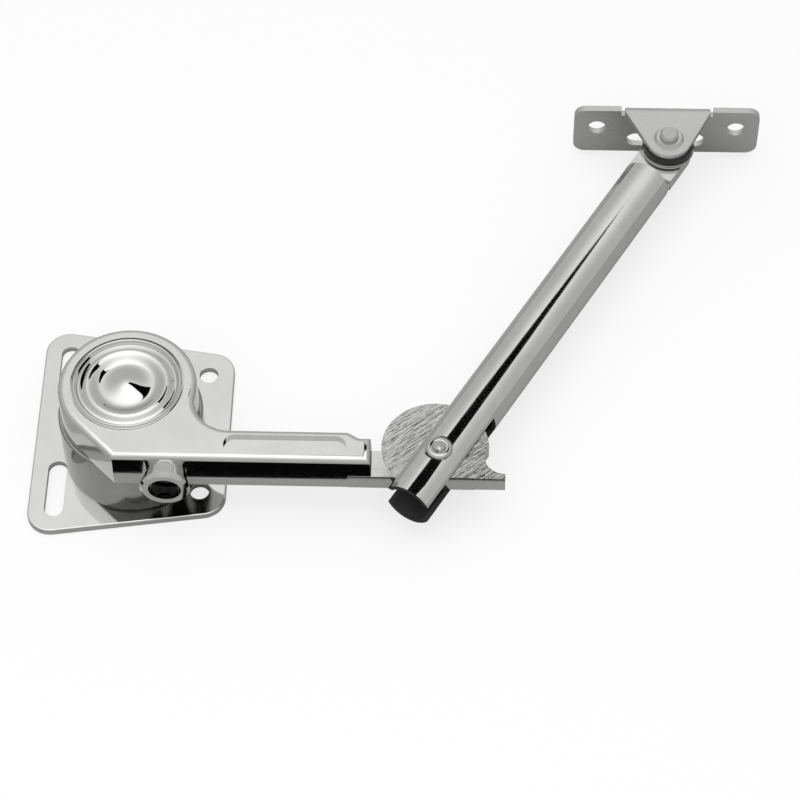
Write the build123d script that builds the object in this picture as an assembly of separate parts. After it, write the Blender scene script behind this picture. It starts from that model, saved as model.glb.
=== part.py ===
"""Soft-down lid stay: damped arm on a fixing plate, hinged tube, lid bracket.

Frame: millimetres, +Z up. The origin is midway between the fixing plate's two round
holes, at its back face. The arm runs along +X, the tube leans 60 degrees from it at
rest, and every hinge axis is parallel to Z. The sub-parts are drawn about the damper
axis and are set in that frame at the end, by DAMPER_X.
"""

import os
from math import cos, radians, sin, sqrt, tan

from build123d import *

# --- Fixing plate ---------------------------------------------------------
PLATE_T = 2.3
PLATE_HALF_W = 31.0
PLATE_HALF_H_WIDE = 40.0
PLATE_HALF_H_NARROW = 30.6
PLATE_CORNER_R = 7.5
FIXING_PITCH = 45.5
FIXING_HOLE_R = 3.0
DAMPER_X = -FIXING_PITCH / 2
FIXING_SLOT_LENGTH = 21.0
CENTRE_HOLE_R = 11.0
STUD_CIRCLE_R = 18.5
STUD_ANGLE = 33.0
STUD_R = 2.6
STUD_HEAD_R = 3.6
KIDNEY_WIDTH = 6.6
KIDNEY_SWEEP = 20.0

# --- Damper drum, fixed to the plate ---------------------------------------
DRUM_R = 23.0
DRUM_TOP = 13.9
DRUM_WALL = 2.6
DRUM_CROWN = 3.0
DRUM_BOSS_R = 10.6
DRUM_LUG_R = 4.4
HEAD_POCKET_R = 8.6
HEAD_POCKET_TOP = 4.2
THRUST_R = 12.0
THRUST_DEPTH = 1.0

# --- Rotor shaft and its fastenings ----------------------------------------
SHAFT_R = 5.5
SHAFT_FLATS = 8.6
SHAFT_THREAD_R = 4.0
ROTOR_R = 7.0
VANE_R = 14.7
VANE_SWEEP = 28.0
VANE_MIDDLE = 125.0
JOURNAL_R = 4.0
FIT = 0.05
RUN_GAP = 0.3
FACE_GAP = 0.1
SEAL_SECTION_R = 0.8

# --- Arm casting ------------------------------------------------------------
ARM_BOTTOM = DRUM_TOP + RUN_GAP
ARM_HEIGHT = 14.0
ARM_TOP = ARM_BOTTOM + ARM_HEIGHT
PARTING_Z = ARM_BOTTOM + 4.0
DRAFT = 1.5
HUB_R = 22.0
ARM_FRONT = -28.4
ARM_BACK = -16.4
BEAM_END_X = 77.3
NARROW_X = 70.0
NARROW_BACK = -18.6
CROTCH_R = 11.5
EDGE_R = 2.0
CHAMBER_R = 15.0
CHAMBER_FLOOR = ARM_BOTTOM + 3.0
SHAFT_SEAL_Z = ARM_BOTTOM + 1.5
CHAMBER_TOP = CHAMBER_FLOOR + 7.0
STATOR_SWEEP = 20.0
COVER_R = 16.5
COVER_T = 2.2
CAP_SEAT = CHAMBER_TOP + COVER_T
COVER_SEAL_Z = CHAMBER_TOP + COVER_T / 2
CAP_R = 17.6
CAP_RECESS_R = CAP_R + RUN_GAP
CAP_SHEET = 0.7
CAP_BEAD_H = 0.8
CAP_WAVE = (
    (0.0, 0.78),
    (2.8, 0.68),
    (5.2, 0.42),
    (7.4, 0.04),
    (9.2, 0.28),
    (11.4, 0.52),
    (13.4, 0.26),
    (14.9, 0.0),
    (15.9, 0.3),
)
GROOVE_X0 = 31.6
GROOVE_X1 = 69.6
GROOVE_W = 7.0
GROOVE_DEPTH = 1.4

# --- Adjusting screw boss on the arm -----------------------------------------
BOSS_X = 13.9
BOSS_Z = ARM_BOTTOM + 0.5 * ARM_HEIGHT - 0.2
BOSS_MOUTH_Y = -35.3
BOSS_MOUTH_R = 7.8
BOSS_ROOT_R = 6.0
BOSS_BORE_R = 5.1
BOSS_BORE_Y = -27.5
VALVE_THREAD_R = 4.0
VALVE_HEAD_RISE = 2.4
VALVE_SEAT_Y = -16.6
VALVE_SEAL_Y = -18.2
VALVE_END_Y = -14.0
VALVE_DRILL_R = 1.3

# --- Tongue at the arm's end -------------------------------------------------
TONGUE_MID = ARM_BOTTOM + 3.0
TONGUE_T = 6.0
PAD_RAISE = 0.25
PAD_X = 97.0
PAD_Y = -17.0
PAD_R = 16.8
FINGER_X = 118.9
FINGER_W = 2.0
NECK_R = 6.6
ELBOW_X = 98.2
ELBOW_Y = -20.5

# --- Stay tube ---------------------------------------------------------------
TUBE_R = 8.0
TUBE_WALL = 1.4
TUBE_ANGLE = 60.0
TUBE_REACH = 148.5
TUBE_TAIL = 18.5
SLOT_DEPTH = 21.3
SLOT_W = 7.1
TAB_T = 4.6
TAB_W = 15.4
TAB_SHOULDER = 12.5
TAB_BLEND = 7.5
RIVET_R = 3.0
RIVET_HEAD_R = 4.3
RIVET_SEAT = 7.4
ROLL_H = 1.5
DISH_DEPTH = 2.2
DOME_H = 1.9

# --- Lid bracket -------------------------------------------------------------
SHEET_T = 2.3
WASHER_R = 8.7
WASHER_T = 0.7
SPACER_R = 8.2
SPACER_T = 1.8
EAR_R = 7.5
EAR_HALF_W = 14.3
FLANGE_SETBACK = 13.0
FLANGE_HALF_W = 31.25
FLANGE_BOTTOM = 2.6
FLANGE_TOP = 23.0
FLANGE_CORNER_R = 4.0
LID_HOLE_PITCH = 47.0
LID_HOLE_R = 3.0
LID_HOLE_Z = 14.5
LID_SLOT_Z = 8.6
LID_SLOT_LENGTH = 26.5
LID_SLOT_W = 6.0
BEND_R = 1.2
NOTCH_W = 1.2
SCREW_R = 3.0
SCREW_HEAD_R = 5.0
SCREW_HEAD_H = 3.6
COLLAR_R = 5.0
COLLAR_H = 1.1
SCREW_END_Z = 27.2

ELBOW = Vector(ELBOW_X, ELBOW_Y, 0)
TUBE_DIR = Vector(cos(radians(TUBE_ANGLE)), sin(radians(TUBE_ANGLE)), 0)
WRIST = ELBOW + TUBE_DIR * TUBE_REACH
TAB_TOP = TONGUE_MID + 0.5 * TAB_T
EAR_BOTTOM = TAB_TOP + WASHER_T + SPACER_T
EAR_TOP = EAR_BOTTOM + SHEET_T


def drum_between(radius, z0, z1, x=0.0, y=0.0):
    """Upright cylinder between two heights."""
    return Pos(x, y, z0) * Cylinder(radius, z1 - z0, align=(Align.CENTER, Align.CENTER, Align.MIN))


def prism(face, z0, z1):
    """Flat outline raised between two heights."""
    return extrude(Pos(0, 0, z0) * face, z1 - z0)


def sector(radius, sweep, middle, z0, z1):
    """Wedge of a disc, sweep degrees wide about the direction middle."""
    reach = 1.5 * radius
    half = radians(sweep / 2)
    wedge = Polygon((0, 0), (reach, -reach * tan(half)), (reach, reach * tan(half)), align=None)
    return prism(Rot(0, 0, middle) * wedge & Circle(radius), z0, z1)


def cross_recess(size, depth):
    """Cross drive cutter: two tapering wings that open upwards from Z = -depth to 0."""
    wings = Part()
    for turn in (0, 90):
        top = Rot(0, 0, turn) * Rectangle(size, 0.26 * size)
        foot = Pos(0, 0, -depth) * Rot(0, 0, turn) * Rectangle(0.3 * size, 0.16 * size)
        wings += loft([foot.face(), top.face()])
    return wings


def seal_groove(radius, z):
    """Square groove cutter round a rim of the given radius, centred at height z."""
    low = z - SEAL_SECTION_R
    high = z + SEAL_SECTION_R
    return drum_between(radius + 1, low, high) - drum_between(radius - 2 * SEAL_SECTION_R, low, high)


def seal_ring(radius, z):
    """Square-section seal seated in the groove of that rim, just inside its outer face."""
    half = SEAL_SECTION_R - FIT
    band = drum_between(radius - FIT, z - half, z + half)
    return band - drum_between(radius - FIT - 2 * half, z - half, z + half)


# --- Base: plate, drum, rotor and fastenings ---------------------------------

def plate_outline():
    """Tapered plate with rounded corners."""
    corners = (
        (-PLATE_HALF_W, -PLATE_HALF_H_WIDE),
        (PLATE_HALF_W, -PLATE_HALF_H_NARROW),
        (PLATE_HALF_W, PLATE_HALF_H_NARROW),
        (-PLATE_HALF_W, PLATE_HALF_H_WIDE),
    )
    sketch = Polygon(*corners, align=None)
    return fillet(sketch.vertices(), PLATE_CORNER_R)


def stud_places():
    """Centres of the four swaged studs."""
    angles = (STUD_ANGLE, 180 - STUD_ANGLE, 180 + STUD_ANGLE, -STUD_ANGLE)
    return [(STUD_CIRCLE_R * cos(radians(a)), STUD_CIRCLE_R * sin(radians(a))) for a in angles]


def kidney(side):
    """Curved relief slot on the stud circle."""
    start = 90 * side - KIDNEY_SWEEP / 2
    arc = CenterArc((0, 0), STUD_CIRCLE_R, start, KIDNEY_SWEEP)
    return SlotArc(arc, KIDNEY_WIDTH)


def make_base_plate():
    """Pressed steel plate with two round holes, two slots and its centre hole."""
    half = FIXING_PITCH / 2
    outline = plate_outline()
    outline -= Circle(CENTRE_HOLE_R)
    for side in (-1, 1):
        outline -= Pos(half, side * half) * Circle(FIXING_HOLE_R)
        outline -= Pos(-half, side * half) * SlotOverall(FIXING_SLOT_LENGTH, 2 * FIXING_HOLE_R, 90)
        outline -= kidney(side)
    plate = prism(outline, 0, PLATE_T)
    for x, y in stud_places():
        plate -= drum_between(STUD_R, 0, PLATE_T, x, y)
        plate -= Pos(x, y, 0.5) * Cone(STUD_HEAD_R, STUD_R, 1.0)
    rim = plate.faces().sort_by(Axis.Z)[-1].outer_wire().edges()
    return fillet(rim, 0.5)


def make_damper_drum():
    """Inverted die-cast cup that carries the shaft; its studs are swaged in the plate."""
    drum = drum_between(DRUM_R, PLATE_T, DRUM_TOP)
    drum -= drum_between(DRUM_R - DRUM_WALL, PLATE_T, DRUM_TOP - DRUM_CROWN)
    drum += drum_between(DRUM_BOSS_R, PLATE_T, DRUM_TOP - DRUM_CROWN)
    for x, y in stud_places():
        lug = drum_between(DRUM_LUG_R, PLATE_T, DRUM_TOP - DRUM_CROWN, x, y)
        drum += lug & drum_between(DRUM_R, PLATE_T, DRUM_TOP)
        drum += drum_between(STUD_R, 0, PLATE_T, x, y)
        drum += Pos(x, y, 0.5) * Cone(STUD_HEAD_R, STUD_R, 1.0)
    drum -= drum_between(HEAD_POCKET_R, PLATE_T, HEAD_POCKET_TOP)
    drum -= prism(shaft_flat_outline(FIT), HEAD_POCKET_TOP, DRUM_TOP)
    drum -= drum_between(THRUST_R + FIT, DRUM_TOP - THRUST_DEPTH, DRUM_TOP)
    crown = drum.edges().filter_by(GeomType.CIRCLE).filter_by(lambda e: e.radius > DRUM_R - FIT)
    return fillet(crown.sort_by(Axis.Z)[-1], 0.8)


def shaft_flat_outline(clearance):
    """Round shaft end with two flats that key it to the drum."""
    width = SHAFT_FLATS + 2 * clearance
    return Circle(SHAFT_R + clearance) & Rectangle(4 * SHAFT_R, width)


def make_rotor_shaft():
    """Shaft keyed in the drum, with two vanes in the arm's oil chamber."""
    bottom = HEAD_POCKET_TOP + FACE_GAP
    floor = CHAMBER_FLOOR + FACE_GAP
    ceiling = CHAMBER_TOP - FACE_GAP
    shaft = prism(shaft_flat_outline(0), bottom, DRUM_TOP - THRUST_DEPTH)
    shaft += drum_between(SHAFT_R, DRUM_TOP - THRUST_DEPTH, floor)
    shaft += drum_between(ROTOR_R, floor, ceiling)
    for middle in (VANE_MIDDLE, VANE_MIDDLE + 180):
        shaft += sector(VANE_R, VANE_SWEEP, middle, floor, ceiling)
    shaft += drum_between(JOURNAL_R, ceiling, CAP_SEAT - FACE_GAP)
    shaft -= drum_between(SHAFT_THREAD_R + FIT, bottom, bottom + 9.0)
    return shaft - seal_groove(SHAFT_R, SHAFT_SEAL_Z)


def make_thrust_washer():
    """Plain washer that the arm runs on."""
    washer = drum_between(THRUST_R, DRUM_TOP - THRUST_DEPTH, ARM_BOTTOM - FACE_GAP)
    return washer - drum_between(SHAFT_R + FIT, DRUM_TOP - THRUST_DEPTH, ARM_BOTTOM)


def make_centre_screw():
    """Cross-recess cheese-head screw that holds the rotor shaft from the plate's back."""
    head = drum_between(7.1, 0.3, 3.4)
    head = fillet(head.edges().sort_by(Axis.Z)[0], 0.7)
    head -= Pos(0, 0, 0.3) * Rot(180, 0, 0) * cross_recess(7.6, 2.0)
    return head + drum_between(SHAFT_THREAD_R, 3.4, 12.6)


def make_centre_washer():
    """Washer under the centre screw's head."""
    washer = drum_between(7.6, 3.4, HEAD_POCKET_TOP)
    return washer - drum_between(SHAFT_THREAD_R + FIT, 3.4, HEAD_POCKET_TOP)


# --- Arm: casting, chamber cover, cap and seals ------------------------------

def hub_outline():
    """Hub circle and beam, with the sloped facet, the crotch and the narrowed end."""
    facet = HUB_R / sin(radians(45))
    corner_x = -facet - ARM_FRONT
    beam = Polygon(
        (0, 0),
        (-HUB_R * cos(radians(45)), -HUB_R * sin(radians(45))),
        (corner_x, ARM_FRONT),
        (BEAM_END_X, ARM_FRONT),
        (BEAM_END_X, NARROW_BACK),
        (NARROW_X + 3.6, NARROW_BACK),
        (NARROW_X, ARM_BACK),
        (10, ARM_BACK),
        align=None,
    )
    outline = Circle(HUB_R) + beam
    meeting = sqrt(HUB_R**2 - ARM_BACK**2)
    crotch = outline.vertices().sort_by_distance((meeting, ARM_BACK))[0]
    outline = fillet(crotch, CROTCH_R)
    elbows = outline.vertices().filter_by(lambda v: NARROW_X - 1 < v.X < BEAM_END_X - 1)
    return fillet(elbows, 2.5)


def tongue_outline():
    """Flat tongue: strip, pivot pad and stop finger joined by a concave neck."""
    strip = Polygon(
        (NARROW_X, ARM_FRONT),
        (FINGER_X, ARM_FRONT),
        (FINGER_X, ARM_FRONT + FINGER_W + NECK_R),
        (ELBOW_X, NARROW_BACK),
        (NARROW_X, NARROW_BACK),
        align=None,
    )
    tongue = strip + pad_outline()
    return tongue - Pos(FINGER_X, ARM_FRONT + FINGER_W + NECK_R) * Circle(NECK_R)


def pad_outline():
    """Round pivot pad, trimmed to the front wall beyond the pivot."""
    trim = Polygon(
        (PAD_X - 11.0, ARM_FRONT - 1.5),
        (PAD_X + 5.0, ARM_FRONT),
        (PAD_X + PAD_R, ARM_FRONT),
        (PAD_X + PAD_R, ARM_FRONT - PAD_R),
        (PAD_X - 11.0, ARM_FRONT - PAD_R),
        align=None,
    )
    neck = Pos(FINGER_X, ARM_FRONT + FINGER_W + NECK_R) * Circle(NECK_R)
    return Pos(PAD_X, PAD_Y) * Circle(PAD_R) - trim - neck


def make_boss():
    """Flared boss for the adjusting screw, its axis along -Y."""
    root_y = ARM_FRONT + 6.0
    profile = Polyline((0, root_y), (BOSS_ROOT_R, root_y), (BOSS_ROOT_R, ARM_FRONT))
    profile += Spline(
        (BOSS_ROOT_R, ARM_FRONT),
        (BOSS_MOUTH_R - 0.5, BOSS_MOUTH_Y + 2.4),
        (BOSS_MOUTH_R, BOSS_MOUTH_Y + 0.8),
        tangents=((0.35, -1), (0, -1)),
    )
    profile += Polyline(
        (BOSS_MOUTH_R, BOSS_MOUTH_Y + 0.8),
        (BOSS_MOUTH_R - 0.8, BOSS_MOUTH_Y),
        (0, BOSS_MOUTH_Y),
        (0, root_y),
    )
    return Pos(BOSS_X, 0, BOSS_Z) * revolve(make_face(profile), Axis.Y)


def on_screw_axis(shape, y):
    """Turn a shape drawn along +Z onto the adjusting screw's axis, its base at y."""
    return Pos(BOSS_X, y, BOSS_Z) * Rot(-90, 0, 0) * shape


def along_y(radius, y0, y1):
    """Cylinder on the adjusting screw's axis between two Y values."""
    return on_screw_axis(drum_between(radius, 0, y1 - y0), y0)


def make_arm_casting():
    """Zinc casting: hub with oil chamber, beam, tongue and screw boss."""
    outline = Pos(0, 0, PARTING_Z) * hub_outline()
    upper = extrude(outline, ARM_TOP - PARTING_Z, taper=DRAFT)
    lower = extrude(outline, PARTING_Z - ARM_BOTTOM, dir=(0, 0, -1), taper=DRAFT)
    arm = upper + lower
    top_face = arm.faces().sort_by(Axis.Z)[-1]
    soft = [e for e in top_face.edges() if not is_facet_edge(e)]
    arm = fillet(soft, EDGE_R)
    low = TONGUE_MID - TONGUE_T / 2
    arm += prism(tongue_outline(), low, low + TONGUE_T)
    arm += prism(pad_outline(), low - PAD_RAISE, low + TONGUE_T + PAD_RAISE)
    arm += make_boss()
    arm -= drum_between(SHAFT_R + FIT, ARM_BOTTOM, CHAMBER_FLOOR)
    arm -= drum_between(CHAMBER_R, CHAMBER_FLOOR, CHAMBER_TOP)
    for middle in (0, 180):
        stator = sector(CHAMBER_R + 0.5, STATOR_SWEEP, middle, CHAMBER_FLOOR, CHAMBER_TOP)
        arm += stator - drum_between(ROTOR_R + RUN_GAP, CHAMBER_FLOOR, CHAMBER_TOP)
    arm -= drum_between(COVER_R + FIT, CHAMBER_TOP, CAP_SEAT)
    arm -= drum_between(CAP_RECESS_R, CAP_SEAT, ARM_TOP + 1)
    arm -= along_y(BOSS_BORE_R, BOSS_MOUTH_Y - 1, BOSS_BORE_Y)
    arm -= along_y(VALVE_THREAD_R + FIT, BOSS_BORE_Y, VALVE_END_Y)
    arm -= along_y(VALVE_DRILL_R, VALVE_END_Y, -3.0)
    groove = Pos((GROOVE_X0 + GROOVE_X1) / 2, (ARM_FRONT + ARM_BACK) / 2)
    groove *= SlotOverall(GROOVE_X1 - GROOVE_X0, GROOVE_W)
    arm -= prism(groove, ARM_TOP - GROOVE_DEPTH, ARM_TOP + 1)
    arm -= prism(groove, ARM_BOTTOM - 1, ARM_BOTTOM + GROOVE_DEPTH)
    arm -= drum_between(RIVET_R + FIT, 0, ARM_TOP, ELBOW_X, ELBOW_Y)
    return arm


def is_facet_edge(edge):
    """True for the straight top edge over the sloped facet."""
    if edge.geom_type != GeomType.LINE:
        return False
    return abs(abs((edge % 0.5).X) - abs((edge % 0.5).Y)) < 0.05


def make_chamber_cover():
    """Disc that closes the oil chamber, grooved at its rim for the seal."""
    cover = drum_between(COVER_R, CHAMBER_TOP, CAP_SEAT)
    cover -= drum_between(JOURNAL_R + FIT, CHAMBER_TOP, CAP_SEAT)
    return cover - seal_groove(COVER_R, COVER_SEAL_Z)


def cap_wave(lift):
    """Half section of the cap's rippled sheet from its centre to the rim bead's start."""
    knots = [(r, ARM_TOP + h + lift) for r, h in CAP_WAVE]
    wave = ThreePointArc(*knots[0:3])
    for i in range(2, len(knots) - 2, 2):
        wave += ThreePointArc(*knots[i:i + 3])
    return wave, knots[0], knots[-1]


def make_hub_cap():
    """Pressed cap with a raised centre, a ring groove, a broad crest and a rolled rim."""
    profile, upper_centre, bead_foot = cap_wave(0)
    under, lower_centre, lower_foot = cap_wave(-CAP_SHEET)
    bead = ThreePointArc(bead_foot, (CAP_R - 0.8, ARM_TOP + CAP_BEAD_H), (CAP_R, ARM_TOP))
    skirt = Polyline((CAP_R, ARM_TOP), (CAP_R, CAP_SEAT), (CAP_R - CAP_SHEET, CAP_SEAT))
    inside = Polyline((CAP_R - CAP_SHEET, CAP_SEAT), (CAP_R - CAP_SHEET, lower_foot[1]), lower_foot)
    profile += [bead, skirt, inside, under, Line(lower_centre, upper_centre)]
    return revolve(make_face(Plane.XZ * profile), Axis.Z)


def make_adjusting_screw():
    """Slotted valve screw, recessed in the boss."""
    head_y = BOSS_BORE_Y - VALVE_HEAD_RISE
    screw = along_y(VALVE_THREAD_R, head_y, VALVE_SEAT_Y)
    screw += along_y(VALVE_DRILL_R - FACE_GAP, VALVE_SEAT_Y, VALVE_END_Y + 3.0)
    slot = Box(2 * VALVE_THREAD_R, 2.4, 1.1)
    screw -= Pos(BOSS_X, head_y, BOSS_Z) * slot
    return screw - on_screw_axis(seal_groove(VALVE_THREAD_R, 0), VALVE_SEAL_Y)


def make_valve_seal():
    """O-ring that keeps the oil behind the valve screw."""
    return on_screw_axis(seal_ring(VALVE_THREAD_R, 0), VALVE_SEAL_Y)


# --- Tube with rivet and washers ---------------------------------------------

def on_tube(shape):
    """Place a shape drawn along +X from the elbow onto the tube's axis."""
    return Pos(ELBOW_X, ELBOW_Y, TONGUE_MID) * Rot(0, 0, TUBE_ANGLE) * shape


def tube_section(x, width, height):
    """Closed rounded section across the tube at distance x."""
    corner = min(width, height) / 2 - 0.01
    return Plane.YZ.offset(x) * RectangleRounded(width, height, corner)


def make_stay_tube():
    """Steel tube, slotted at the elbow and forged to a flat eye at the bracket."""
    shoulder = TUBE_REACH - TAB_SHOULDER
    start = shoulder - TAB_BLEND
    outer = Pos(-TUBE_TAIL, 0, 0) * Rot(0, 90, 0) * Cylinder(
        TUBE_R, start + TUBE_TAIL, align=(Align.CENTER, Align.CENTER, Align.MIN)
    )
    inner = Pos(-TUBE_TAIL, 0, 0) * Rot(0, 90, 0) * Cylinder(
        TUBE_R - TUBE_WALL, start + TUBE_TAIL - 1.0, align=(Align.CENTER, Align.CENTER, Align.MIN)
    )
    blend = loft([
        Plane.YZ.offset(start) * Circle(TUBE_R),
        tube_section(shoulder, TAB_W, TAB_T),
    ])
    eye = Pos((shoulder + TUBE_REACH) / 2, 0) * Rectangle(TAB_SHOULDER, TAB_W)
    eye += Pos(TUBE_REACH, 0) * Circle(TAB_W / 2)
    eye -= Pos(TUBE_REACH, 0) * Circle(SCREW_R + FIT)
    tube = outer + blend + prism(eye, -TAB_T / 2, TAB_T / 2) - inner
    slot_length = SLOT_DEPTH + TUBE_TAIL
    middle = (SLOT_DEPTH - TUBE_TAIL) / 2
    tube -= Pos(middle, 0, 0) * Box(slot_length, 3 * TUBE_R, SLOT_W)
    tube -= Cylinder(RIVET_R + FIT, 4 * TUBE_R)
    for side in (-1, 1):
        tube -= Pos(0, 0, side * (RIVET_SEAT + 2)) * Cylinder(RIVET_HEAD_R + 0.4, 4)
    return on_tube(tube)


def make_elbow_rivet():
    """Semi-tubular rivet: rolled end with a dished centre above, domed head below."""
    shank = Cylinder(RIVET_R, 2 * RIVET_SEAT)
    roll = Pos(0, 0, RIVET_SEAT + ROLL_H / 2) * Cylinder(RIVET_HEAD_R, ROLL_H)
    roll = fillet(roll.edges().sort_by(Axis.Z)[-1], 1.0)
    dish = Pos(0, 0, RIVET_SEAT + ROLL_H - DISH_DEPTH / 2) * Cone(1.0, 2.6, DISH_DEPTH)
    rivet = shank + roll - dish
    lip = rivet.edges().filter_by(GeomType.CIRCLE).filter_by(lambda e: abs(e.radius - 2.6) < FIT)
    rivet = fillet(lip, 0.5)
    sphere_r = (RIVET_HEAD_R**2 + DOME_H**2) / (2 * DOME_H)
    dome = Pos(0, 0, sphere_r - RIVET_SEAT - DOME_H) * Sphere(sphere_r)
    dome &= Pos(0, 0, -RIVET_SEAT - DOME_H / 2) * Cylinder(RIVET_HEAD_R, DOME_H)
    return on_tube(rivet + dome)


def make_tongue_washer(side):
    """Nylon washer that centres the tongue in the tube, above or below it."""
    inner = TONGUE_T / 2 + PAD_RAISE + FACE_GAP
    outer = sqrt((TUBE_R - TUBE_WALL) ** 2 - 4.2**2)
    washer = Pos(0, 0, side * (inner + outer) / 2) * Cylinder(4.2, outer - inner)
    return on_tube(washer - Cylinder(RIVET_R + FIT, 4 * TUBE_R))


# --- Bracket, pivot screw, spacer and washer ---------------------------------

def at_wrist(shape):
    """Place a shape drawn about the wrist pivot."""
    return Pos(WRIST.X, WRIST.Y, 0) * shape


def ear_outline():
    """Ear that tapers from the bend to a round end about the pivot."""
    base_y = FLANGE_SETBACK - BEND_R
    lift = sqrt(EAR_HALF_W**2 + base_y**2)
    slope = sin_tangent(lift)
    point = (EAR_R * slope[0], EAR_R * slope[1])
    blade = Polygon(
        (-EAR_HALF_W, base_y),
        (-point[0], point[1]),
        (point[0], point[1]),
        (EAR_HALF_W, base_y),
        align=None,
    )
    return blade + Circle(EAR_R)


def sin_tangent(lift):
    """Unit direction to where the ear's straight edge touches its round end."""
    base_y = FLANGE_SETBACK - BEND_R
    reach = sqrt(lift**2 - EAR_R**2)
    x = (EAR_HALF_W * EAR_R + base_y * reach) / lift**2
    y = (base_y * EAR_R - EAR_HALF_W * reach) / lift**2
    return (x, y)


def make_lid_bracket():
    """Bent sheet bracket: flange with two holes and a slot, and the threaded ear."""
    ear = prism(ear_outline(), EAR_BOTTOM, EAR_TOP)
    back_y = FLANGE_SETBACK + SHEET_T
    bend = Line((FLANGE_SETBACK - BEND_R, EAR_BOTTOM), (FLANGE_SETBACK - BEND_R, EAR_TOP))
    outer_r = BEND_R + SHEET_T
    bend_z = EAR_BOTTOM - BEND_R
    turn = outer_r * sin(radians(45))
    bend += ThreePointArc(
        (FLANGE_SETBACK - BEND_R, EAR_TOP),
        (FLANGE_SETBACK - BEND_R + turn, bend_z + turn),
        (back_y, bend_z),
    )
    bend += Line((back_y, bend_z), (FLANGE_SETBACK, bend_z))
    inner_turn = BEND_R * sin(radians(45))
    bend += ThreePointArc(
        (FLANGE_SETBACK, bend_z),
        (FLANGE_SETBACK - BEND_R + inner_turn, bend_z + inner_turn),
        (FLANGE_SETBACK - BEND_R, EAR_BOTTOM),
    )
    curl = extrude(Plane.YZ.offset(-EAR_HALF_W) * make_face(bend), 2 * EAR_HALF_W)
    height = FLANGE_TOP - FLANGE_BOTTOM
    sheet = RectangleRounded(2 * FLANGE_HALF_W, height, FLANGE_CORNER_R)
    sheet = Pos(0, FLANGE_BOTTOM + height / 2) * sheet
    for side in (-1, 1):
        sheet -= Pos(side * LID_HOLE_PITCH / 2, LID_HOLE_Z) * Circle(LID_HOLE_R)
        notch = Pos(side * (EAR_HALF_W + NOTCH_W / 2), FLANGE_TOP) * Rectangle(NOTCH_W, 4.4)
        sheet -= notch
    gap = Pos(0, bend_z + 5) * Rectangle(2 * EAR_HALF_W, 10)
    sheet -= gap
    sheet -= Pos(0, LID_SLOT_Z) * SlotOverall(LID_SLOT_LENGTH, LID_SLOT_W)
    flange = extrude(Plane.XZ.offset(-back_y) * sheet, SHEET_T)
    collar = Pos(0, 0, EAR_TOP + COLLAR_H / 2) * Cone(COLLAR_R, COLLAR_R - 0.8, COLLAR_H)
    bracket = ear + curl + flange + collar
    bracket -= drum_between(SCREW_R + FIT, EAR_BOTTOM, EAR_TOP + COLLAR_H)
    return at_wrist(bracket)


def make_pivot_screw():
    """Cross-recess pan-head screw through the eye, threaded in the ear."""
    under = TONGUE_MID - TAB_T / 2 - FACE_GAP
    head = drum_between(SCREW_HEAD_R, under - SCREW_HEAD_H, under)
    head = fillet(head.edges().sort_by(Axis.Z)[0], 1.6)
    head -= Pos(0, 0, under - SCREW_HEAD_H) * Rot(180, 0, 0) * cross_recess(5.6, 2.0)
    shank = drum_between(SCREW_R, under, SCREW_END_Z)
    shank = chamfer(shank.edges().sort_by(Axis.Z)[-1], 0.5)
    return at_wrist(head + shank)


def make_ring_at_wrist(radius, z0, z1):
    """Flat ring about the pivot screw."""
    return at_wrist(drum_between(radius, z0, z1) - drum_between(SCREW_R + FIT, z0, z1))


def build_parts():
    """Every sub-part by its node name."""
    seat = TAB_TOP + FACE_GAP
    return {
        "base_plate": make_base_plate(),
        "damper_drum": make_damper_drum(),
        "rotor_shaft": make_rotor_shaft(),
        "shaft_seal": seal_ring(SHAFT_R, SHAFT_SEAL_Z),
        "thrust_washer": make_thrust_washer(),
        "centre_screw": make_centre_screw(),
        "centre_washer": make_centre_washer(),
        "arm_casting": make_arm_casting(),
        "chamber_cover": make_chamber_cover(),
        "cover_seal": seal_ring(COVER_R, COVER_SEAL_Z),
        "hub_cap": make_hub_cap(),
        "adjusting_screw": make_adjusting_screw(),
        "valve_seal": make_valve_seal(),
        "stay_tube": make_stay_tube(),
        "elbow_rivet": make_elbow_rivet(),
        "tongue_washer_upper": make_tongue_washer(1),
        "tongue_washer_lower": make_tongue_washer(-1),
        "lid_bracket": make_lid_bracket(),
        "pivot_screw": make_pivot_screw(),
        "pivot_spacer": make_ring_at_wrist(SPACER_R, TAB_TOP + WASHER_T, EAR_BOTTOM),
        "pivot_washer": make_ring_at_wrist(WASHER_R, seat, TAB_TOP + WASHER_T),
    }


def main():
    """Write one STEP file per sub-part."""
    os.makedirs("parts", exist_ok=True)
    for name, drawn in build_parts().items():
        shape = Pos(DAMPER_X, 0, 0) * drawn
        export_step(shape, f"parts/{name}.step")
        print(f"{name}: {shape.volume:.0f} mm3, {len(shape.solids())} solid(s)")


if __name__ == "__main__":
    main()
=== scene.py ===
"""Looks of a soft-down lid stay: a damped arm on a fixing plate, a hinged tube and a lid bracket.

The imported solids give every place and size. Bright plated pieces mirror whatever stands round
them, so each one is shown as a smooth copy of its solid, or as a turned piece of its own, and
the studio has the pale floor, soft box and cards that such metal needs.
"""

from __future__ import annotations

import logging
import math
from collections.abc import Callable, Iterable
from dataclasses import dataclass, field
from enum import Enum

import bmesh
import bpy
from mathutils import Matrix, Vector

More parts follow.
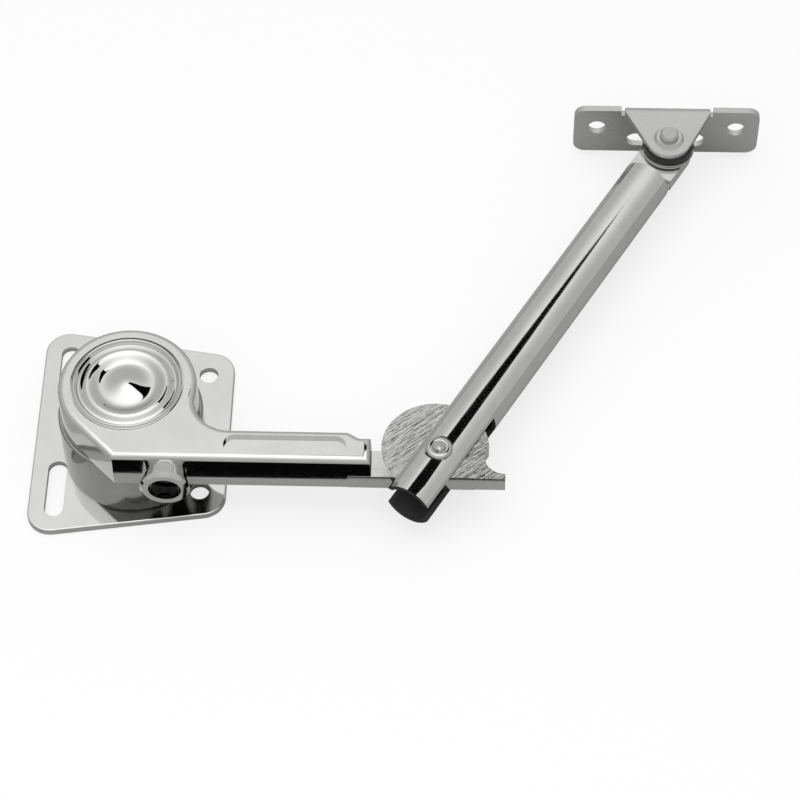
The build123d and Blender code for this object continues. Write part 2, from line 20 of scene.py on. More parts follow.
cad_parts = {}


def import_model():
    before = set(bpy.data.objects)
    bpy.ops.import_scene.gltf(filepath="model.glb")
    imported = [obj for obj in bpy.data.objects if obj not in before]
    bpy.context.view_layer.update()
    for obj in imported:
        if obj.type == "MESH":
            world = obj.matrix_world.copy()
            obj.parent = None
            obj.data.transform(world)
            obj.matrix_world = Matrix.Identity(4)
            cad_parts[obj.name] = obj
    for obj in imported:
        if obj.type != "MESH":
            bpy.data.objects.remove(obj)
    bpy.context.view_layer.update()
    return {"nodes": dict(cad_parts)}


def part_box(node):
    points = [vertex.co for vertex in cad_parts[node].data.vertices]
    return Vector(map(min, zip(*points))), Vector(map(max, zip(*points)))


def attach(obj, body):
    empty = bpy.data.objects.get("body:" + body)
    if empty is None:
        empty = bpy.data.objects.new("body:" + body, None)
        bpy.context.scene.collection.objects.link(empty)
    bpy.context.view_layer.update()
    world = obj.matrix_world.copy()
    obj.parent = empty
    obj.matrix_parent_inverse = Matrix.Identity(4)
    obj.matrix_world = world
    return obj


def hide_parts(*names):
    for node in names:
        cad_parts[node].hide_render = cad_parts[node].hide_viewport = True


MM = 0.001
MERGE_MM = 0.002
SMOOTH_BELOW_DEG = 32.0
FLAT_BELOW_DEG = 0.2
SQUARE_DEG = (62.0, 118.0)
ROUND_SEGMENTS = 3

log = logging.getLogger("lid_stay")


# --- Colours and nodes --------------------------------------------------------


def linear(hex_colour: str) -> tuple[float, float, float, float]:
    """Turn an sRGB hex colour to the linear values that shaders take.

    Args:
        hex_colour: Six hex digits with a leading hash.

    Returns:
        Linear red, green and blue, with an alpha of 1.
    """
    channels = [int(hex_colour[i:i + 2], 16) / 255 for i in (1, 3, 5)]
    values = [c / 12.92 if c <= 0.04045 else ((c + 0.055) / 1.055) ** 2.4 for c in channels]
    return (values[0], values[1], values[2], 1.0)


def add_node(tree: bpy.types.NodeTree, kind: str, links: dict | None = None, **settings) -> bpy.types.Node:
    """Add a node with its settings and incoming links.

    Args:
        tree: Node tree that gets the node.
        kind: Blender's name of the node type.
        links: Input name or index to either an output socket or a constant.
        **settings: Properties of the node itself.

    Returns:
        The new node.
    """
    node = tree.nodes.new(kind)
    for name, value in settings.items():
        setattr(node, name, value)
    for name, value in (links or {}).items():
        if isinstance(value, bpy.types.NodeSocket):
            tree.links.new(value, node.inputs[name])
        else:
            node.inputs[name].default_value = value
    return node


def per_metre(millimetres: float) -> float:
    """Texture scale that repeats a pattern at the given spacing."""
    return 1.0 / (millimetres * MM)


def new_material(name: str) -> tuple[bpy.types.Material, bpy.types.NodeTree]:
    """Start an empty node material.

    Args:
        name: Name of the finish.

    Returns:
        The material and its cleared node tree.
    """
    material = bpy.data.materials.new(name)
    material.use_nodes = True
    material.node_tree.nodes.clear()
    return material, material.node_tree


# --- Finishes -------------------------------------------------------------------


class Lay(Enum):
    """Direction in which polishing or drawing left its fine lines, as turn about Z in degrees."""

    ALONG_X = 0.0
    ACROSS_PAD = 38.0
    ALONG_TUBE = 60.0
    ALONG_Y = 90.0


@dataclass(frozen=True)
class PlatedMetal:
    """Bright nickel over steel or zinc: a mirror with faint polishing lines and a soft waviness.

    The waviness bends mirrored edges a little, as on real castings and pressings, and the
    lines spread the highlight along the polishing direction.
    """

    name: str
    colour: str = "#d6d6d4"
    stain: str = "#c4c4c3"
    roughness: float = 0.055
    roughness_spread: float = 0.05
    wave_mm: float = 9.0
    wave_height_mm: float = 0.0022
    line_mm: float = 0.16
    line_length: float = 26.0
    line_height_mm: float = 0.0003
    lay: Lay = Lay.ALONG_X
    stain_mm: float = 14.0

    def build(self) -> bpy.types.Material:
        """Make the material."""
        material, tree = new_material(self.name)
        place = add_node(tree, "ShaderNodeTexCoord").outputs["Object"]
        turned = add_node(
            tree,
            "ShaderNodeMapping",
            {"Vector": place, "Rotation": (0.0, 0.0, -math.radians(self.lay.value))},
        )
        drawn_out = add_node(
            tree,
            "ShaderNodeMapping",
            {"Vector": turned.outputs[0], "Scale": (1.0 / self.line_length, 1.0, 1.0)},
        )
        wave = add_node(
            tree,
            "ShaderNodeTexNoise",
            {"Vector": place, "Scale": per_metre(self.wave_mm), "Detail": 1.5, "Roughness": 0.45},
        )
        lines = add_node(
            tree,
            "ShaderNodeTexNoise",
            {"Vector": drawn_out.outputs[0], "Scale": per_metre(self.line_mm), "Detail": 3.0},
        )
        cloud = add_node(
            tree,
            "ShaderNodeTexNoise",
            {"Vector": place, "Scale": per_metre(self.stain_mm), "Detail": 4.0, "Roughness": 0.6},
        )
        colour = add_node(
            tree,
            "ShaderNodeMix",
            {"Factor": cloud.outputs["Fac"], 6: linear(self.colour), 7: linear(self.stain)},
            data_type="RGBA",
        )
        roughness = add_node(
            tree,
            "ShaderNodeMapRange",
            {
                "Value": lines.outputs["Fac"],
                "From Min": 0.35,
                "From Max": 0.7,
                "To Min": self.roughness,
                "To Max": self.roughness + self.roughness_spread,
            },
        )
        swell = add_node(
            tree,
            "ShaderNodeBump",
            {"Height": wave.outputs["Fac"], "Strength": 1.0, "Distance": self.wave_height_mm * MM},
        )
        brushed = add_node(
            tree,
            "ShaderNodeBump",
            {
                "Height": lines.outputs["Fac"],
                "Strength": 1.0,
                "Distance": self.line_height_mm * MM,
                "Normal": swell.outputs[0],
            },
        )
        shader = add_node(
            tree,
            "ShaderNodeBsdfPrincipled",
            {
                "Base Color": colour.outputs[2],
                "Metallic": 1.0,
                "Roughness": roughness.outputs[0],
                "Normal": brushed.outputs[0],
            },
        )
        add_node(tree, "ShaderNodeOutputMaterial", {"Surface": shader.outputs[0]})
        return material


@dataclass(frozen=True)
class DullSurface:
    """Nylon, rubber or bare steel: a grained, slightly uneven surface without a mirror."""

    name: str
    colour: str
    shade: str
    roughness: float
    metallic: float = 0.0
    grain_mm: float = 0.35
    grain_height_mm: float = 0.004
    cloud_mm: float = 6.0
    roughness_swing: float = 0.06

    def build(self) -> bpy.types.Material:
        """Make the material."""
        material, tree = new_material(self.name)
        place = add_node(tree, "ShaderNodeTexCoord").outputs["Object"]
        grain = add_node(
            tree,
            "ShaderNodeTexNoise",
            {"Vector": place, "Scale": per_metre(self.grain_mm), "Detail": 4.0},
        )
        cloud = add_node(
            tree,
            "ShaderNodeTexNoise",
            {"Vector": place, "Scale": per_metre(self.cloud_mm), "Detail": 3.0},
        )
        colour = add_node(
            tree,
            "ShaderNodeMix",
            {"Factor": cloud.outputs["Fac"], 6: linear(self.colour), 7: linear(self.shade)},
            data_type="RGBA",
        )
        roughness = add_node(
            tree,
            "ShaderNodeMapRange",
            {
                "Value": grain.outputs["Fac"],
                "To Min": self.roughness - self.roughness_swing,
                "To Max": self.roughness + self.roughness_swing,
            },
        )
        relief = add_node(
            tree,
            "ShaderNodeBump",
            {"Height": grain.outputs["Fac"], "Strength": 1.0, "Distance": self.grain_height_mm * MM},
        )
        shader = add_node(
            tree,
            "ShaderNodeBsdfPrincipled",
            {
                "Base Color": colour.outputs[2],
                "Metallic": self.metallic,
                "Roughness": roughness.outputs[0],
                "Normal": relief.outputs[0],
            },
        )
        add_node(tree, "ShaderNodeOutputMaterial", {"Surface": shader.outputs[0]})
        return material


# A pressed and polished plate: flat enough to mirror the drum that stands on it.
PRESSED_NICKEL = PlatedMetal(
    "bright_nickel_pressed_steel", wave_mm=22.0, wave_height_mm=0.004, lay=Lay.ALONG_Y
)
# A polished die casting: its walls swell a little more than sheet does.
CAST_NICKEL = PlatedMetal("bright_nickel_cast_zinc", wave_mm=7.0, wave_height_mm=0.003)
# The drum's darker colour is painted shade for the mid grey that the drum's wall mirrors; its cloud makes it
# less even.
DRUM_NICKEL_PAINTED_SHADE = PlatedMetal(
    "nickel_cast_zinc_painted_shade", colour="#a4a4a2", stain="#787877", roughness=0.1, wave_height_mm=0.006
)
# The pad's face is only linished, so its mirror breaks up in streaks.
LINISHED_NICKEL = PlatedMetal(
    "linished_nickel_cast_zinc",
    roughness=0.13,
    roughness_spread=0.14,
    wave_mm=3.2,
    wave_height_mm=0.15,
    line_mm=0.8,
    line_length=9.0,
    line_height_mm=0.1,
    lay=Lay.ACROSS_PAD,
)
# A deep-drawn cap has the sharpest mirror on the stay.
CAP_NICKEL = PlatedMetal(
    "bright_nickel_drawn_cap", roughness=0.03, roughness_spread=0.02, wave_mm=12.0, wave_height_mm=0.001
)
# Drawn tube keeps faint lines along its length.
TUBE_NICKEL = PlatedMetal(
    "bright_nickel_drawn_tube", wave_mm=30.0, line_length=60.0, line_height_mm=0.0001, lay=Lay.ALONG_TUBE
)
# Bent sheet is polished less, so it mirrors softly and looks mid grey.
BRACKET_NICKEL = PlatedMetal("bright_nickel_bent_sheet", colour="#cfcfcd", stain="#bebebe", roughness=0.27)
# Machined steel without plating, inside the damper.
TURNED_STEEL = PlatedMetal("turned_steel", colour="#a9a9a6", stain="#999996", roughness=0.2, line_mm=0.3)
# Zinc plating on screws is greyer and softer than the nickel.
ZINC_PLATED_SCREW = PlatedMetal("zinc_plated_screw_steel", colour="#c2c2c0", stain="#aaaaa8", roughness=0.16)
# Nickel on the rivet and the pivot washer, rubbed a little by riveting.
PLATED_RIVET = PlatedMetal("nickel_plated_rivet_steel", colour="#c6c6c4", stain="#b0b0ae", roughness=0.1)
# Plating hardly reaches inside a long tube, so its bore is dull; its near-black colour is painted shade for
# the inside of the tube.
BORE_PAINTED_SHADE = DullSurface("dull_bore_painted_shade", "#2c2c2c", "#141414", 0.7)
# Blackened steel of the valve screw.
BLACKENED_STEEL = DullSurface("blackened_steel", "#2b2b2b", "#1a1a1a", 0.34, metallic=0.7)
# Moulded nylon: the black spacer, and the white washers.
BLACK_NYLON = DullSurface("black_moulded_nylon", "#151515", "#0e0e0e", 0.42)
WHITE_NYLON = DullSurface("white_moulded_nylon", "#e4e3dd", "#d8d6ce", 0.42)
# Rubber of the seals.
NITRILE_RUBBER = DullSurface("nitrile_rubber", "#161616", "#101010", 0.6)


class Wardrobe:
    """Builds each finish once and hands it out."""

    def __init__(self) -> None:
        """Start with nothing built."""
        self._built: dict[str, bpy.types.Material] = {}

    def get(self, finish: PlatedMetal | DullSurface) -> bpy.types.Material:
        """Give the material of a finish, made on first use.

        Args:
            finish: The finish wanted.

        Returns:
            Its material.
        """
        if finish.name not in self._built:
            self._built[finish.name] = finish.build()
        return self._built[finish.name]


# --- Meshes -----------------------------------------------------------------------


def object_from(bm: bmesh.types.BMesh, name: str) -> bpy.types.Object:
    """Turn a bmesh to an object at the origin.

    Args:
        bm: Finished mesh data, freed afterwards.
        name: Name of the piece.

    Returns:
        The linked object.
    """
    mesh = bpy.data.meshes.new(name)
    bm.to_mesh(mesh)
    bm.free()
    piece = bpy.data.objects.new(name, mesh)
    bpy.context.scene.collection.objects.link(piece)
    return piece


def soften(bm: bmesh.types.BMesh) -> None:
    """Shade a mesh smooth, apart from the edges that turn more than a limit.

    Args:
        bm: Mesh to shade.
    """
    limit = math.radians(SMOOTH_BELOW_DEG)
    for face in bm.faces:
        face.smooth = True
    for edge in bm.edges:
        edge.smooth = len(edge.link_faces) == 2 and edge.calc_face_angle(0.0) < limit


def is_square(edge: bmesh.types.BMEdge) -> bool:
    """True for an outer edge that turns about a right angle."""
    turn = edge.calc_face_angle_signed(0.0)
    return math.radians(SQUARE_DEG[0]) < turn < math.radians(SQUARE_DEG[1])


def round_edges(
    bm: bmesh.types.BMesh, wanted: Callable[[bmesh.types.BMEdge], bool], radius_mm: float
) -> None:
    """Round the square edges that a test picks.

    Args:
        bm: Mesh to change.
        wanted: Test of one edge.
        radius_mm: Radius of the rounding.
    """
    picked = [edge for edge in bm.edges if len(edge.link_faces) == 2 and wanted(edge)]
    bmesh.ops.bevel(
        bm,
        geom=picked,
        offset=radius_mm * MM,
        offset_type="OFFSET",
        segments=ROUND_SEGMENTS,
        profile=0.5,
        affect="EDGES",
        clamp_overlap=True,
        material=-1,
    )


def rippled(knots: Iterable[tuple[float, float]], steps: int = 9) -> list[tuple[float, float]]:
    """Draw a wave through its crests and troughs, level at each of them.

    Args:
        knots: Radius and height of each crest and trough.
        steps: Points between neighbours.

    Returns:
        Radius and height of each point of the wave.
    """
    places = list(knots)
    points = [places[0]]
    for (r0, z0), (r1, z1) in zip(places, places[1:]):
        for i in range(1, steps + 1):
            share = i / steps
            ease = (1 - math.cos(math.pi * share)) / 2
            points.append((r0 + (r1 - r0) * share, z0 + (z1 - z0) * ease))
    return points


def turned(
    name: str, axis: Vector, profile: Iterable[tuple[float, float]], steps: int
) -> bpy.types.Object:
    """Turn a closed profile about an upright axis.

    Args:
        name: Name of the piece.
        axis: Any point of the axis.
        profile: Radius and height of each point, in metres, from axis to axis.
        steps: Faces round the piece.

    Returns:
        The turned piece.
    """
    bm = bmesh.new()
    ring = [bm.verts.new((axis.x + radius, axis.y, height)) for radius, height in profile]
    edges = [bm.edges.new(pair) for pair in zip(ring, ring[1:])]
    bmesh.ops.spin(
        bm,
        geom=ring + edges,
        cent=(axis.x, axis.y, 0.0),
        axis=(0.0, 0.0, 1.0),
        angle=2 * math.pi,
        steps=steps,
        use_merge=True,
    )
    bmesh.ops.remove_doubles(bm, verts=bm.verts, dist=MERGE_MM * MM / 2)
    bmesh.ops.recalc_face_normals(bm, faces=bm.faces)
    soften(bm)
    return object_from(bm, name)


def keep_flats_flat(piece: bpy.types.Object) -> None:
    """Weigh normals by face area, so that flats stay flat beside their rounded edges."""
    weights = piece.modifiers.new("flats", "WEIGHTED_NORMAL")
    weights.keep_sharp = True
    weights.weight = 100


@dataclass
class Dresser:
    """Gives solids their finishes, and shows plated ones as smooth copies."""

    nodes: dict[str, bpy.types.Object]
    wardrobe: Wardrobe = field(default_factory=Wardrobe)

    def dress(self, piece: bpy.types.Object, *finishes: PlatedMetal | DullSurface) -> None:
        """Fill a piece's material slots.

        Args:
            piece: Object to dress.
            *finishes: One finish for each material index.
        """
        indices = [face.material_index for face in piece.data.polygons]
        piece.data.materials.clear()
        for finish in finishes:
            piece.data.materials.append(self.wardrobe.get(finish))
        if len(finishes) > 1:  # clearing the slots sets every face to the first one
            piece.data.polygons.foreach_set("material_index", indices)

    def smooth_copy(
        self,
        node: str,
        body: str,
        slot: str,
        *finishes: PlatedMetal | DullSurface,
        second: Callable[[bmesh.types.BMFace], bool] | None = None,
        reshape: Callable[[bmesh.types.BMesh], None] | None = None,
        rounded: Callable[[bmesh.types.BMEdge], bool] | None = None,
        round_mm: float = 0.3,
    ) -> None:
        """Stand a merged, smooth-shaded copy in for a solid.

        Args:
            node: Name of the solid.
            body: Body that it rides on.
            slot: Material slot of the record; not used.
            *finishes: Finish, and where asked a second one.
            second: Test that picks the faces of the second finish.
            reshape: Change to the copy's form before it is shaded.
            rounded: Test that picks the square edges to round.
            round_mm: Radius of that rounding.
        """
        bm = bmesh.new()
        bm.from_mesh(self.nodes[node].data)
        bmesh.ops.remove_doubles(bm, verts=bm.verts, dist=MERGE_MM * MM)
        bmesh.ops.dissolve_degenerate(bm, edges=bm.edges, dist=MERGE_MM * MM)
        bmesh.ops.dissolve_limit(
            bm,
            angle_limit=math.radians(FLAT_BELOW_DEG),
            verts=bm.verts,
            edges=bm.edges,
            use_dissolve_boundaries=False,
        )
        if reshape:
            reshape(bm)
        if rounded:
            round_edges(bm, rounded, round_mm)
        soften(bm)
        bm.normal_update()
        for face in bm.faces:
            face.material_index = 1 if second and second(face) else 0
        piece = object_from(bm, f"{node}_shown")
        keep_flats_flat(piece)
        self.dress(piece, *finishes)
        self.settle(piece, body, slot, node)

    def settle(self, piece: bpy.types.Object, body: str, slot: str, *replaced: str) -> None:
        """Attach a piece to the body that it rides on, and hide the solids that it stands for.

        Args:
            piece: The piece.
            body: Body that it rides on.
            slot: Material slot of the record; not used.
            *replaced: Names of hidden solids.
        """
        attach(piece, body)
        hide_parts(*replaced)
        log.info("%s rides on %s with %d faces", piece.name, body, len(piece.data.polygons))


def centre_of(node: str) -> Vector:
    """Middle of a solid's box."""
    low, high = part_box(node)
    return (low + high) / 2


# --- Sub-assemblies ------------------------------------------------------------


@dataclass
class DamperBase:
    """Fixing plate with the damper drum, and what the drum holds."""

    def build(self, dresser: Dresser) -> None:
        """Dress the base's pieces.

        Args:
            dresser: Hands out finishes and copies.
        """
        dresser.smooth_copy("base_plate", "base", "plated_steel", PRESSED_NICKEL, rounded=is_square)
        # The drum's darker nickel colour is painted shade.
        dresser.smooth_copy("damper_drum", "base", "plated_zinc", DRUM_NICKEL_PAINTED_SHADE)
        dresser.smooth_copy("centre_screw", "base", "screw_steel", ZINC_PLATED_SCREW)
        dresser.smooth_copy("centre_washer", "base", "screw_steel", ZINC_PLATED_SCREW)
        dresser.dress(dresser.nodes["rotor_shaft"], TURNED_STEEL)
        dresser.dress(dresser.nodes["shaft_seal"], NITRILE_RUBBER)
        dresser.dress(dresser.nodes["thrust_washer"], WHITE_NYLON)


@dataclass
class DamperArm:
    """Cast arm with its pivot pad, cap and valve screw."""

    pad_reach_mm: float = 20.4
    pad_depth_mm: float = 0.5
    edge_mm: float = 0.45
    cap_base_mm: float = 0.1
    cap_steps: int = 160
    cap_wave: tuple[tuple[float, float], ...] = (
        (0.0, 0.05),
        (0.47, 2.0),
        (0.71, 0.25),
        (0.875, 1.7),
        (0.95, 0.2),
        (1.0, 0.9),
    )

    def make_cap(self, dresser: Dresser) -> None:
        """Turn the drawn cap: a domed middle, a trough, a broad crest and a rolled rim.

        Args:
            dresser: Hands out finishes.
        """
        low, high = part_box("hub_cap")
        radius = (high.x - low.x) / 2
        wave = rippled((share * radius, high.z - drop * MM) for share, drop in self.cap_wave)
        base = low.z + self.cap_base_mm * MM
        closing = [(radius, base), (0.0, base)]
        cap = turned("hub_cap_shown", centre_of("hub_cap"), wave + closing, self.cap_steps)
        dresser.dress(cap, CAP_NICKEL)
        dresser.settle(cap, "arm", "pressed_cap", "hub_cap")

    def build(self, dresser: Dresser) -> None:
        """Dress the arm's pieces.

        Args:
            dresser: Hands out finishes and copies.
        """
        rivet = centre_of("elbow_rivet")
        pad_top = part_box("tongue_washer_upper")[0].z

        def on_pad(face: bmesh.types.BMFace) -> bool:
            flat = abs(face.normal.z) > 0.99
            middle = face.calc_center_median()
            away = Vector((middle.x - rivet.x, middle.y - rivet.y)).length
            near = away < self.pad_reach_mm * MM
            return flat and near and middle.z > pad_top - self.pad_depth_mm * MM

        dresser.smooth_copy(
            "arm_casting",
            "arm",
            "plated_zinc",
            CAST_NICKEL,
            LINISHED_NICKEL,
            second=on_pad,
            rounded=is_square,
            round_mm=self.edge_mm,
        )
        self.make_cap(dresser)
        dresser.smooth_copy("adjusting_screw", "valve", "blackened_steel", BLACKENED_STEEL)
        dresser.dress(dresser.nodes["chamber_cover"], TURNED_STEEL)
        dresser.dress(dresser.nodes["cover_seal"], NITRILE_RUBBER)
        dresser.dress(dresser.nodes["valve_seal"], NITRILE_RUBBER)


@dataclass
class StayTube:
    """Slotted tube with its elbow rivet and washers."""

    bore_margin_mm: float = 0.5
    shoulder_mm: float = 12.5
    blend_mm: float = 7.5
    blend_slack_mm: float = 0.01
    shoulder_share: float = 0.28
    rivet_steps: int = 72
    rivet_end_mm: tuple[tuple[float, float], ...] = (
        (0.0, -2.0),
        (0.5, -1.95),
        (1.1, -1.55),
        (1.75, -0.75),
        (2.3, -0.15),
        (2.85, 0.0),
        (3.4, -0.08),
        (3.9, -0.4),
        (4.2, -0.85),
    )
    rivet_side_mm: tuple[float, float] = (-1.4, -1.7)
    rivet_shank_mm: float = 3.0
    rivet_head_mm: tuple[tuple[float, float], ...] = (
        (3.0, 1.9),
        (4.3, 1.9),
        (4.1, 1.35),
        (3.4, 0.75),
        (2.3, 0.28),
        (1.2, 0.06),
        (0.0, 0.0),
    )

    def make_rivet(self, dresser: Dresser) -> None:
        """Turn the rivet: a rolled end with a dished centre above, a domed head below.

        Args:
            dresser: Hands out finishes.
        """
        low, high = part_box("elbow_rivet")
        side = (high.x - low.x) / 2 / MM
        flank = [(side, z) for z in self.rivet_side_mm] + [(self.rivet_shank_mm, self.rivet_side_mm[1])]
        above = [(r * MM, high.z + z * MM) for r, z in (*self.rivet_end_mm, *flank)]
        below = [(r * MM, low.z + z * MM) for r, z in self.rivet_head_mm]
        rivet = turned("elbow_rivet_shown", centre_of("elbow_rivet"), above + below, self.rivet_steps)
        dresser.dress(rivet, PLATED_RIVET)
        dresser.settle(rivet, "tube", "rivet_steel", "elbow_rivet")

    def build(self, dresser: Dresser) -> None:
        """Dress the tube's pieces.

        Args:
            dresser: Hands out finishes and copies.
        """
        elbow = centre_of("tongue_washer_upper")
        wrist = centre_of("pivot_washer")
        axis = Vector((wrist.x - elbow.x, wrist.y - elbow.y, 0.0)).normalized()
        low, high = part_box("stay_tube")
        middle_z = (low.z + high.z) / 2
        outer = (high.z - low.z) / 2
        reach = (Vector((wrist.x, wrist.y)) - Vector((elbow.x, elbow.y))).length
        shoulder = reach - self.shoulder_mm * MM

        def in_bore(face: bmesh.types.BMFace) -> bool:
            middle = face.calc_center_median()
            offset = Vector((middle.x - elbow.x, middle.y - elbow.y, middle.z - middle_z))
            across = offset - axis * offset.dot(axis)
            inside = across.length < outer - self.bore_margin_mm * MM
            return inside and offset.dot(axis) < shoulder - self.blend_mm * MM

        def steepen(bm: bmesh.types.BMesh) -> None:
            for vert in bm.verts:
                along = (vert.co - elbow).dot(axis)
                behind = shoulder - along
                if MERGE_MM * MM < behind < (self.blend_mm + self.blend_slack_mm) * MM:
                    vert.co += axis * behind * (1 - self.shoulder_share)

        # The bore's near-black finish is painted shade.
        dresser.smooth_copy(
            "stay_tube", "tube", "plated_tube", TUBE_NICKEL, BORE_PAINTED_SHADE, second=in_bore, reshape=steepen
        )
        self.make_rivet(dresser)
        for side in ("upper", "lower"):
            dresser.dress(dresser.nodes[f"tongue_washer_{side}"], WHITE_NYLON)


@dataclass
class LidBracket:
    """Bent bracket with its pivot screw, spacer and washer."""

    def build(self, dresser: Dresser) -> None:
        """Dress the bracket's pieces.

        Args:
            dresser: Hands out finishes and copies.
        """
        dresser.smooth_copy("lid_bracket", "bracket", "plated_bracket", BRACKET_NICKEL, rounded=is_square)
        dresser.smooth_copy("pivot_screw", "bracket", "screw_steel", ZINC_PLATED_SCREW)
        dresser.smooth_copy("pivot_washer", "bracket", "rivet_steel", PLATED_RIVET)
        dresser.smooth_copy("pivot_spacer", "bracket", "black_nylon", BLACK_NYLON)


# --- Studio ------------------------------------------------------------------------


@dataclass(frozen=True)
class Card:
    """Flat matt card that only mirrors see.

    Args:
        name: Name of the card.
        centre_mm: Its middle.
        size_mm: Length and width.
        facing: Direction that its face looks in.
        along: Direction that its length runs in.
        taper: Width at one end as a share of the other's.
        colour: Its colour.
    """

    name: str
    centre_mm: tuple[float, float, float]
    size_mm: tuple[float, float]
    facing: tuple[float, float, float]
    along: tuple[float, float, float] = (1.0, 0.0, 0.0)
    taper: float = 1.0
    colour: str = "#060606"


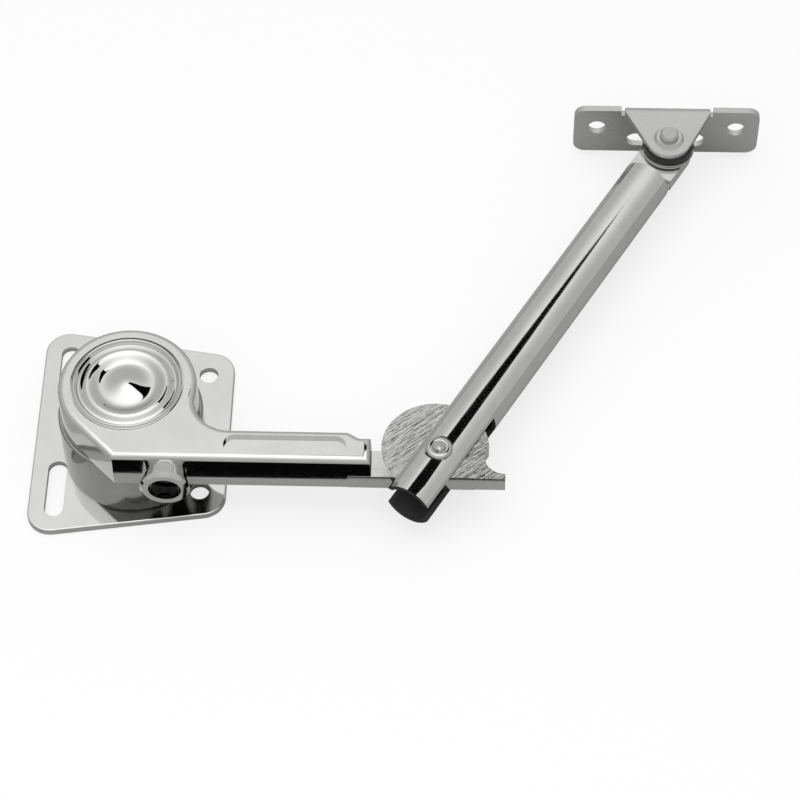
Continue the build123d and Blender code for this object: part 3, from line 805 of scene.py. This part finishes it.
@dataclass
class Studio:
    """Pale floor, soft box, cards and the camera."""

    floor_mm: float = 6000.0
    floor_colour: str = "#d0d0d0"
    floor_gap_mm: float = 0.1
    floor_white_share: float = 0.72
    tent_glow: tuple[float, float] = (0.8, 2.4)
    tent_power: float = 5.0
    sensor_mm: float = 36.0
    near_clip_mm: float = 10.0
    camera_mm: tuple[float, float, float] = (85.13, -556.37, 787.12)
    target_mm: tuple[float, float, float] = (62.165, 15.835, 0.0)
    roll_deg: float = -0.858
    lens_mm: float = 135.5
    box_mm: tuple[float, float] = (1100.0, 1300.0)
    box_centre_mm: tuple[float, float, float] = (0.0, -300.0, 800.0)
    box_watts: float = 6.4
    cards: tuple[Card, ...] = (
        Card("grey_card", (60.0, 0.0, 0.05), (1600.0, 1600.0), (0.0, 0.0, 1.0), colour="#9a9a9a"),
        Card("front_card_left", (-44.0, -54.0, 0.3), (50.0, 25.0), (0.0, 0.0, 1.0)),
        Card("front_card_right", (79.5, -54.0, 0.3), (170.0, 25.0), (0.0, 0.0, 1.0)),
        Card(
            "high_card_near",
            (308.6, 303.3, 805.0),
            (180.0, 679.0),
            (0.0, 0.0, -1.0),
            along=(0.5, 0.866, 0.0),
        ),
        Card(
            "high_card_far",
            (396.8, 456.2, 805.0),
            (173.0, 679.0),
            (0.0, 0.0, -1.0),
            along=(0.5, 0.866, 0.0),
            taper=0.05,
        ),
    )

    def build(self) -> None:
        """Set up the whole studio."""
        self.make_world()
        self.make_floor()
        self.make_soft_box()
        for card in self.cards:
            self.make_card(card)
        self.place_camera()
        bpy.context.scene.view_settings.view_transform = "Standard"

    def make_world(self) -> None:
        """White for the camera, and a tent that is dimmer towards the horizon for everything else."""
        world = bpy.data.worlds.new("light_tent")
        world.use_nodes = True
        tree = world.node_tree
        tree.nodes.clear()
        direction = add_node(tree, "ShaderNodeTexCoord").outputs["Generated"]
        height = add_node(tree, "ShaderNodeSeparateXYZ", {"Vector": direction}).outputs["Z"]
        crown = add_node(tree, "ShaderNodeMath", {0: height, 1: self.tent_power}, operation="POWER")
        low, high = self.tent_glow
        glow = add_node(
            tree, "ShaderNodeMapRange", {"Value": crown.outputs[0], "To Min": low, "To Max": high}
        )
        camera_ray = add_node(tree, "ShaderNodeLightPath").outputs["Is Camera Ray"]
        strength = add_node(
            tree,
            "ShaderNodeMix",
            {"Factor": camera_ray, 2: glow.outputs[0], 3: 1.0},
            data_type="FLOAT",
        )
        shader = add_node(tree, "ShaderNodeBackground", {"Strength": strength.outputs[0]})
        add_node(tree, "ShaderNodeOutputWorld", {"Surface": shader.outputs[0]})
        bpy.context.scene.world = world

    def make_floor(self) -> None:
        """Pale floor that the camera sees as near white, with the stay's shadow on it."""
        bm = bmesh.new()
        bmesh.ops.create_grid(bm, x_segments=1, y_segments=1, size=self.floor_mm * MM / 2)
        bmesh.ops.translate(bm, verts=bm.verts, vec=(0.0, 0.0, -self.floor_gap_mm * MM))
        floor = object_from(bm, "floor")
        material, tree = new_material("pale_floor")
        matt = add_node(tree, "ShaderNodeBsdfDiffuse", {"Color": linear(self.floor_colour)})
        white = add_node(tree, "ShaderNodeEmission", {"Strength": 1.0})
        camera_ray = add_node(tree, "ShaderNodeLightPath").outputs["Is Camera Ray"]
        share = add_node(
            tree, "ShaderNodeMath", {0: camera_ray, 1: self.floor_white_share}, operation="MULTIPLY"
        )
        shader = add_node(
            tree, "ShaderNodeMixShader", {0: share.outputs[0], 1: matt.outputs[0], 2: white.outputs[0]}
        )
        add_node(tree, "ShaderNodeOutputMaterial", {"Surface": shader.outputs[0]})
        floor.data.materials.append(material)

    def make_soft_box(self) -> None:
        """Hang a large soft box over the stay for the floor and dull pieces; mirrors do not see it."""
        lamp = bpy.data.lights.new("soft_box", "AREA")
        lamp.shape = "RECTANGLE"
        lamp.size = self.box_mm[0] * MM
        lamp.size_y = self.box_mm[1] * MM
        lamp.energy = self.box_watts
        box = bpy.data.objects.new("soft_box", lamp)
        box.location = Vector(self.box_centre_mm) * MM
        box.visible_camera = False
        box.visible_glossy = False
        bpy.context.scene.collection.objects.link(box)

    def make_card(self, card: Card) -> None:
        """Place one card for the mirrors.

        Args:
            card: Its place and size.
        """
        bm = bmesh.new()
        bmesh.ops.create_grid(bm, x_segments=1, y_segments=1, size=0.5)
        for vert in bm.verts:
            share = 1.0 if vert.co.x < 0 else card.taper
            vert.co.x *= card.size_mm[0] * MM
            vert.co.y *= card.size_mm[1] * MM * share
        facing = Vector(card.facing).normalized()
        across = facing.cross(Vector(card.along)).normalized()
        turn = Matrix((across.cross(facing), across, facing)).transposed().to_4x4()
        bmesh.ops.transform(
            bm, verts=bm.verts, matrix=Matrix.Translation(Vector(card.centre_mm) * MM) @ turn
        )
        plate = object_from(bm, card.name)
        material, tree = new_material(f"{card.name}_felt")
        felt = add_node(tree, "ShaderNodeBsdfDiffuse", {"Color": linear(card.colour)})
        add_node(tree, "ShaderNodeOutputMaterial", {"Surface": felt.outputs[0]})
        plate.data.materials.append(material)
        plate.visible_camera = False
        plate.visible_shadow = False
        plate.visible_diffuse = False

    def place_camera(self) -> None:
        """Aim a long lens down at the stay, rolled a little."""
        camera = bpy.data.objects.new("camera", bpy.data.cameras.new("camera"))
        camera.data.lens = self.lens_mm
        camera.data.sensor_width = self.sensor_mm
        camera.data.clip_start = self.near_clip_mm * MM
        camera.data.dof.use_dof = False
        eye = Vector(self.camera_mm) * MM
        back = (eye - Vector(self.target_mm) * MM).normalized()
        right = Vector((0.0, 0.0, 1.0)).cross(back).normalized()
        rise = back.cross(right)
        roll = math.radians(self.roll_deg)
        side = right * math.cos(roll) + rise * math.sin(roll)
        top = rise * math.cos(roll) - right * math.sin(roll)
        axes = Matrix((side, top, back)).transposed().to_4x4()
        camera.matrix_world = Matrix.Translation(eye) @ axes
        bpy.context.scene.collection.objects.link(camera)
        bpy.context.scene.camera = camera


def main() -> None:
    """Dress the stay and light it."""
    logging.basicConfig(level=logging.INFO, format="%(name)s: %(message)s")
    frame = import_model()
    dresser = Dresser(frame["nodes"])
    for assembly in (DamperBase(), DamperArm(), StayTube(), LidBracket()):
        assembly.build(dresser)
        log.info("%s built", type(assembly).__name__)
    Studio().build()


if __name__ == "__main__":
    main()
